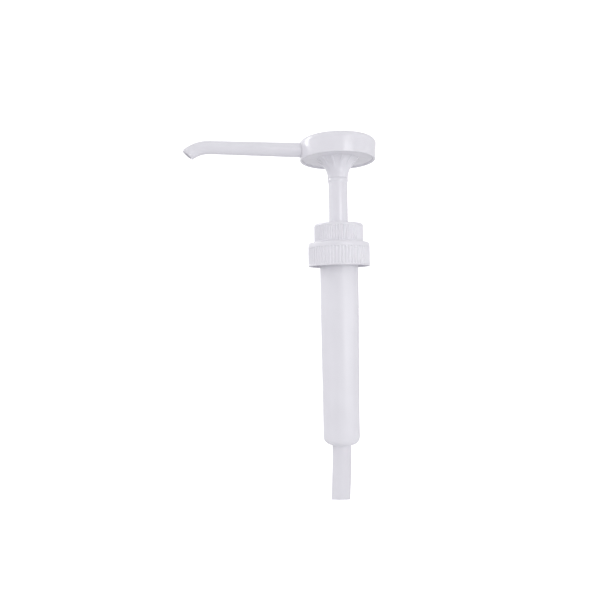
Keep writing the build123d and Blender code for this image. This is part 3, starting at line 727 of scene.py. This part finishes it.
def stem():
    """The plunger tube: a spigot with a snap bead and an O-ring groove, a shoulder, and a stop ring."""
    stop = edge_of("stem_guide", LOW, 2) - 0.05
    groove = SPIGOT_RADIUS - ORING_GROOVE_DEPTH
    outline = rounded(
        (STEM_BORE, STEM_TOP, BREAK),
        (SPIGOT_RADIUS, STEM_TOP, 0.5),
        (SPIGOT_RADIUS, 55.8, 0),
        (SPIGOT_BEAD_RADIUS, 55.3, 0.1),
        (SPIGOT_BEAD_RADIUS, 54.7, 0.05),
        (SPIGOT_RADIUS, 54.6, 0),
        (SPIGOT_RADIUS, ORING_GROOVE_TOP, 0.1),
        (groove, ORING_GROOVE_TOP, 0.1),
        (groove, ORING_GROOVE_FOOT, 0.1),
        (SPIGOT_RADIUS, ORING_GROOVE_FOOT, 0.1),
        (SPIGOT_RADIUS, NECK_BOTTOM - 0.1, 0),
        (NECK_RADIUS, NECK_BOTTOM - 0.1, 0.12),
        (NECK_RADIUS, STEM_SHOULDER_FOOT, BREAK),
        (STEM_RADIUS, STEM_SHOULDER_FOOT - 1, BREAK),
        (STEM_RADIUS, stop, BREAK),
        (STOP_RADIUS, stop, BREAK),
        (STOP_RADIUS, stop - 2, BREAK),
        (STEM_RADIUS, stop - 3, BREAK),
        (STEM_RADIUS, STEM_FOOT, BREAK),
        (STEM_LOWER_BORE, STEM_FOOT, BREAK),
        (STEM_LOWER_BORE, STEM_SHOULDER_FOOT - 2.5, 0),
        (STEM_BORE, STEM_SHOULDER_FOOT - 1, 0),
    )
    return turn("stem_tube", outline, 160)


def ribbed_cap(name, radius, levels, root, hole, edge_round, screw):
    """A threaded cap whose grip ribs run from a bead at its foot to a smooth shoulder, flush with both.

    levels are the heights of its foot, shoulder, ceiling and top. root and hole are the radii of its inner
    wall and its hole, and screw is its thread.
    """
    foot, shoulder, ceiling, top = levels
    wall = radius - RIB_HEIGHT

    def shaped(r, z, angle):
        """Raises the grip ribs outside and the thread inside."""
        if r > wall - 0.01 and foot + BEAD / 2 < z < shoulder + RIB_HEIGHT:
            return max(r, wall + rib(radius, angle)), z
        if abs(r - root) < 0.01:
            return r - thread(angle, z, *screw), z
        return r, z

    wall_foot, wall_top = (wall, foot + BEAD + 0.3), (wall, shoulder)
    bead = ((root, foot, BREAK), (radius, foot, BREAK), (radius, foot + BEAD, 0.15))
    outline = rounded(*bead, (*wall_foot, 0), steps=4)
    outline += line(wall_foot, wall_top, 10)
    outline += rounded(
        (*wall_foot, 0),
        (*wall_top, 0.3),
        (radius, shoulder + 0.5, 0.15),
        (radius - CAP_DRAFT, top, edge_round),
        (hole, top, BREAK),
        (hole, ceiling, 0.1),
        (root, ceiling, 0),
        steps=5,
    )[1:]
    outline += line((root, ceiling), (root, foot + BREAK), 36)
    return turn(name, outline, 12 * GRIP_RIBS, shaped)


def retaining_collar():
    """The small cap that screws on to the barrel's neck and holds the stem's guide down."""
    levels = (COLLAR_FOOT, COLLAR_TOP - COLLAR_SHOULDER, COLLAR_TOP - COLLAR_FACE, COLLAR_TOP)
    radii = (COLLAR_ROOT_RADIUS, COLLAR_HOLE_RADIUS)
    return ribbed_cap("retaining_ring", COLLAR_RADIUS, levels, *radii, COLLAR_ROUND, COLLAR_SCREW)


def screw_closure():
    """The larger cap that screws on to the jar and clamps the barrel's flange."""
    levels = (CLOSURE_FOOT, CLOSURE_TOP - CLOSURE_SHOULDER, FLANGE_TOP + 0.15, CLOSURE_TOP)
    radii = (CLOSURE_ROOT_RADIUS, CLOSURE_HOLE_RADIUS)
    return ribbed_cap("jar_cap", CLOSURE_RADIUS, levels, *radii, CLOSURE_ROUND, JAR_SCREW)


# ---- barrel, dip tube and spring ----------------------------------------------------------------


def barrel():
    """The pump barrel, with its neck thread, two fine split lines and a vent hole under the closure."""

    def detailed(radius, height, angle):
        """Raises the neck's thread and the split lines."""
        if radius == NECK_WALL_RADIUS:
            return radius + thread(angle, height, *NECK_SCREW), height
        outside = radius > BORE_RADIUS + 0.5 and BARREL_FOOT + 5 < height < 0
        return radius + SPLIT_HEIGHT * (outside and on_split(angle)), height

    def across(radius, reach, angle):
        """The point of a tool that lies along +Y, at the vent's height."""
        return Vector((radius * math.cos(angle), reach, radius * math.sin(angle) + VENT_HEIGHT))

    neck_top, neck_foot = (NECK_WALL_RADIUS, BARREL_TOP, BREAK), (NECK_WALL_RADIUS, FLANGE_TOP, 0)
    outline = rounded((BORE_RADIUS, BARREL_TOP, BREAK), neck_top, neck_foot)[:-1]
    outline += line((NECK_WALL_RADIUS, BARREL_TOP - BREAK), (NECK_WALL_RADIUS, FLANGE_TOP), 30)
    outline += rounded(
        neck_foot,
        (FLANGE_RADIUS, FLANGE_TOP, 0.2),
        (FLANGE_RADIUS, FLANGE_FOOT, 0.2),
        (BARREL_RADIUS, FLANGE_FOOT, 0),
        (BARREL_RADIUS, BARREL_TAPER_TOP, 0),
        (BARREL_LOWER_RADIUS, BARREL_TAPER_FOOT, 0),
        (BARREL_LOWER_RADIUS, BARREL_FOOT, BARREL_ROUND),
        (TUBE_RADIUS + 0.02, BARREL_FOOT, BREAK),
        (TUBE_RADIUS + 0.02, TUBE_TOP, 0),
        (SEAT_BORE, TUBE_TOP, 0),
        (SEAT_BORE, SEAT_CONE_FOOT, 0),
        (SEAT_RADIUS, SEAT_CONE_TOP, 0),
        (SEAT_RADIUS, SEAT_TOP, 0),
        (SEAT_TUBE_RADIUS, SEAT_TOP, 0),
        (SEAT_TUBE_RADIUS, BORE_FLOOR, 0.5),
        (BORE_RADIUS, BORE_FLOOR, 0.5),
        steps=12,
    )
    tube = turn("pump_barrel", outline, 240, detailed)
    inside, outside = BORE_RADIUS - 1, BARREL_RADIUS + 1
    vent = rounded((0, inside, 0), (VENT_RADIUS, inside, 0), (VENT_RADIUS, outside, 0), (0, outside, 0))
    return carve(tube, turn("vent", vent, 32, put=across))


def dip_tube():
    """The tube, straight in its socket, slightly bent below it, and cut on a slant at its end."""
    straight = TUBE_TOP - BARREL_FOOT
    end = straight + TUBE_SET_RADIUS * math.asin((BARREL_FOOT - TUBE_END) / TUBE_SET_RADIUS)
    across_slant = Vector((math.sin(TUBE_HEADING), math.cos(TUBE_HEADING), 0))

    def put(radius, depth, angle):
        """The tube's point at a depth, slid along the tube to the cut near its end."""
        bent = max(depth - straight, 0) / TUBE_SET_RADIUS
        side = Vector((math.cos(bent), 0, -math.sin(bent)))
        down = Vector((-math.sin(bent), 0, -math.cos(bent)))
        centre = TUBE_SET_RADIUS * (side - Vector((1, 0, 0)))
        centre += Vector((0, 0, TUBE_TOP - min(depth, straight)))
        point = centre + radius * (math.cos(angle) * side + math.sin(angle) * Vector((0, 1, 0)))
        share = max(0.0, 1 - (end - depth) / TUBE_CUT_REACH)
        gap = TUBE_END - TUBE_SLANT * point.dot(across_slant) - point.z
        return point + down * (share * gap / (down.z + TUBE_SLANT * down.dot(across_slant)))

    outer = [(TUBE_RADIUS, depth) for depth in (straight, end - TUBE_CUT_REACH, end)]
    inner = [(TUBE_BORE, depth) for depth in (end, end - TUBE_CUT_REACH, straight)]
    outline = rounded((TUBE_BORE, 0, 0.2), (TUBE_RADIUS, 0, 0.2), (*outer[0], 0))
    outline += line(outer[0], outer[1], 20) + [outer[1]]
    outline += line(outer[1], outer[2], 4) + [outer[2], inner[0]]
    outline += line(inner[0], inner[1], 4) + [inner[1]]
    outline += line(inner[1], inner[2], 20) + [inner[2]]
    return turn("dip_tube_cut", outline, 128, put=put)


def return_spring():
    """A coil spring of round wire whose last turn at each end lies closed."""
    steps, sides = 60, 14
    weights = []
    for step in range(SPRING_TURNS * steps + 1):
        travel = step / steps
        open_share = smooth_step(travel, 0.6, 1.2) * smooth_step(SPRING_TURNS - travel, 0.6, 1.2)
        weights.append(CLOSED_PITCH + OPENING * open_share)
    span = SPRING_TOP - SPRING_FOOT - 2 * SPRING_WIRE
    total = sum(weights[1:])
    height = SPRING_FOOT + SPRING_WIRE
    mesh = bmesh.new()
    rings = []
    for step, weight in enumerate(weights):
        height += weight * span / total if step else 0
        angle = math.tau * step / steps
        out = compass(math.degrees(angle))
        centre = out * SPRING_COIL + Vector((0, 0, height))
        ring = []
        for side in range(sides):
            turned = math.tau * side / sides
            offset = out * math.cos(turned) + Vector((0, 0, math.sin(turned)))
            ring.append(mesh.verts.new((centre + offset * SPRING_WIRE) * MM))
        rings.append(ring)
    for ring, other in zip(rings, rings[1:]):
        for side in range(sides):
            after = (side + 1) % sides
            mesh.faces.new((ring[side], ring[after], other[after], other[side]))
    mesh.faces.new(rings[0])
    mesh.faces.new(rings[-1])
    return make_mesh("coil_spring", mesh)


def add_piece(make, node, body, finish=None):
    """Makes a piece, finishes it, and lets it ride on a body in place of a CAD node."""
    obj = place(make())
    obj.data.materials.clear()
    obj.data.materials.append(finish or FINISHES[NODE_SLOTS[node]])
    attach(obj, body)
    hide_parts(node)
    return obj


add_piece(head_shell, "head_shell", "head")
add_piece(head_base, "head_base", "head")
add_piece(spout, "spout", "head")
add_piece(stem, "stem", "stem", SLIDING_WHITE)
add_piece(retaining_collar, "retaining_collar", "barrel", RIBBED_WHITE)
add_piece(screw_closure, "screw_closure", "closure", RIBBED_WHITE)
add_piece(barrel, "barrel", "barrel")
add_piece(dip_tube, "dip_tube", "barrel")
spring = add_piece(return_spring, "return_spring", "barrel")
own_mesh(spring)

# ---- stage --------------------------------------------------------------------------------------

# The camera stands lower than the caps, a little to the left, and looks level.
CAMERA_AZIMUTH = -9.30
CAMERA_DISTANCE = 365.2
CAMERA_SIDE = 26.3  # how far the pump's axis stands to the right of the camera's aim
CAMERA_HEIGHT = -32.36
CAMERA_ROLL = -0.881
CAMERA_LENS = 33.0
SENSOR_WIDTH = 36.0

FLOOR_COLOR = (0.77, 0.77, 0.78)
FLOOR_GLOW = 1.0
FLOOR_HALF = 8.0  # in metres
FLOOR_GAP = 0.0002  # in metres, under the dip tube
SKY_COLOR = (0.99, 0.985, 1.0)
SKY_LEVEL = 1.17
WALL_AZIMUTH = 125.0  # of the brighter wall behind the pump
WALL_TILT = 0.566
CEILING_TILT = -0.26
BACKDROP = 1.1
SKY_LOBES = (  # azimuth, spread and gain of the darker parts behind the pump
    (122.0, 45.0, -0.4),
    (38.0, 45.0, -0.4),
)


def add_camera():
    """The scene's camera."""
    data = bpy.data.cameras.new("camera")
    data.sensor_width = SENSOR_WIDTH
    data.lens = CAMERA_LENS
    data.clip_start = 0.01
    data.clip_end = 50
    azimuth = math.radians(CAMERA_AZIMUTH)
    forward = Vector((-math.sin(azimuth), math.cos(azimuth), 0))
    right = Vector((math.cos(azimuth), math.sin(azimuth), 0))
    obj = place(bpy.data.objects.new("camera", data))
    obj.location = (forward * -CAMERA_DISTANCE - right * CAMERA_SIDE + Vector((0, 0, CAMERA_HEIGHT))) * MM
    obj.rotation_mode = "QUATERNION"
    level = forward.to_track_quat("-Z", "Y")
    obj.rotation_quaternion = level @ Matrix.Rotation(math.radians(CAMERA_ROLL), 4, "Z").to_quaternion()
    bpy.context.scene.camera = obj


def add_floor():
    """A wide pale floor just under the dip tube, bright to the camera and clear from below."""
    corners = [(x * FLOOR_HALF, y * FLOOR_HALF, 0) for x, y in ((-1, -1), (1, -1), (1, 1), (-1, 1))]
    mesh = bpy.data.meshes.new("floor")
    mesh.from_pydata(corners, [], [(0, 1, 2, 3)])
    obj = place(bpy.data.objects.new("floor", mesh))
    obj.location.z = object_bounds()[0].z - FLOOR_GAP
    shader = Shader("pale_floor")
    shader.set("Base Color", (*FLOOR_COLOR, 1))
    shader.set("Roughness", shader.remap(shader.noise(8), 0.3, 0.7, 0.6, 0.75))
    shader.set("Specular IOR Level", 0.1)
    shader.set("Emission Color", (1, 1, 1, 1))
    camera_ray = (shader.add("ShaderNodeLightPath"), "Is Camera Ray")
    shader.set("Emission Strength", shader.math("MULTIPLY", camera_ray, FLOOR_GLOW))
    clear = shader.add("ShaderNodeBsdfTransparent")
    side = shader.add("ShaderNodeMixShader")
    shader.feed(side, 0, (shader.add("ShaderNodeNewGeometry"), "Backfacing"))
    shader.feed(side, 1, (shader.surface, "BSDF"))
    shader.feed(side, 2, (clear, "BSDF"))
    output = next(node for node in shader.tree.nodes if node.type == "OUTPUT_MATERIAL")
    shader.feed(output, "Surface", (side, "Shader"))
    mesh.materials.append(shader.material)


def add_panel(name, azimuth, low, high, width, radiance, distance=1.0, lights_up=False, shines=True):
    """An upright light panel that faces the pump's axis. Sizes are in metres, and it goes from low to high.

    lights_up lets it light surfaces, and shines lets it show in their gloss.
    """
    light = bpy.data.lights.new(name, "AREA")
    light.shape = "RECTANGLE"
    light.size, light.size_y = width, high - low
    light.energy = radiance * math.pi * width * (high - low)
    obj = place(bpy.data.objects.new(name, light))
    obj.location = compass(azimuth) * distance + Vector((0, 0, (low + high) / 2))
    obj.rotation_euler = (-compass(azimuth)).to_track_quat("-Z", "Y").to_euler()
    obj.visible_camera = False
    obj.visible_diffuse = lights_up
    obj.visible_glossy = shines


VECTOR_MATH = "ShaderNodeVectorMath"


def add_world():
    """Soft white light from all round, stronger from one side, and a plain white backdrop."""
    world = bpy.data.worlds.new("studio")
    world.use_nodes = True
    tree = world.node_tree

    def math_node(operation, a, b, kind="ShaderNodeMath"):
        """A math node on two values or sockets."""
        node = tree.nodes.new(kind)
        node.operation = operation
        for index, value in enumerate((a, b)):
            if isinstance(value, bpy.types.NodeSocket):
                tree.links.new(value, node.inputs[index])
            else:
                node.inputs[index].default_value = value
        return node

    view = tree.nodes.new("ShaderNodeTexCoord").outputs["Generated"]
    level_view = math_node("MULTIPLY", view, (1, 1, 0), VECTOR_MATH).outputs["Vector"]
    level_view = math_node("NORMALIZE", level_view, (0, 0, 0), VECTOR_MATH).outputs["Vector"]
    tilt = compass(WALL_AZIMUTH) * WALL_TILT + Vector((0, 0, CEILING_TILT))
    light = math_node("DOT_PRODUCT", view, tilt, VECTOR_MATH).outputs["Value"]
    light = math_node("ADD", light, SKY_LEVEL).outputs["Value"]
    for azimuth, spread, gain in SKY_LOBES:
        dot = math_node("DOT_PRODUCT", level_view, compass(azimuth), VECTOR_MATH).outputs["Value"]
        lobe = tree.nodes.new("ShaderNodeMapRange")
        lobe.interpolation_type = "SMOOTHSTEP"
        lobe.inputs["From Min"].default_value = math.cos(math.radians(spread))
        lobe.inputs["To Max"].default_value = gain
        tree.links.new(dot, lobe.inputs["Value"])
        light = math_node("ADD", light, lobe.outputs["Result"]).outputs["Value"]
    background = tree.nodes["Background"]
    background.inputs["Color"].default_value = (*SKY_COLOR, 1)
    camera_ray = tree.nodes.new("ShaderNodeLightPath").outputs["Is Camera Ray"]
    brightest = math_node("MAXIMUM", light, math_node("MULTIPLY", camera_ray, BACKDROP).outputs["Value"])
    tree.links.new(brightest.outputs["Value"], background.inputs["Strength"])
    bpy.context.scene.world = world


add_world()
add_floor()
add_panel("front_panel", 291, -0.16, 0.16, 0.45, 3.8, lights_up=True, shines=False)
add_panel("side_panel", 332, -0.16, 0.16, 0.4, 2.5, lights_up=True)
add_panel("stem_panel", 287, 0.10, 0.226, 0.46, 5.0)
add_panel("head_strip", 293, 0.32, 0.60, 0.05, 2.0)
add_panel("left_panel", 158, 0.27, 0.9, 0.36, 6.6)
add_panel("low_panel", 297, -0.165, -0.05, 0.14, 4.6, distance=0.45)
add_camera()
bpy.context.scene.view_settings.view_transform = "Standard"
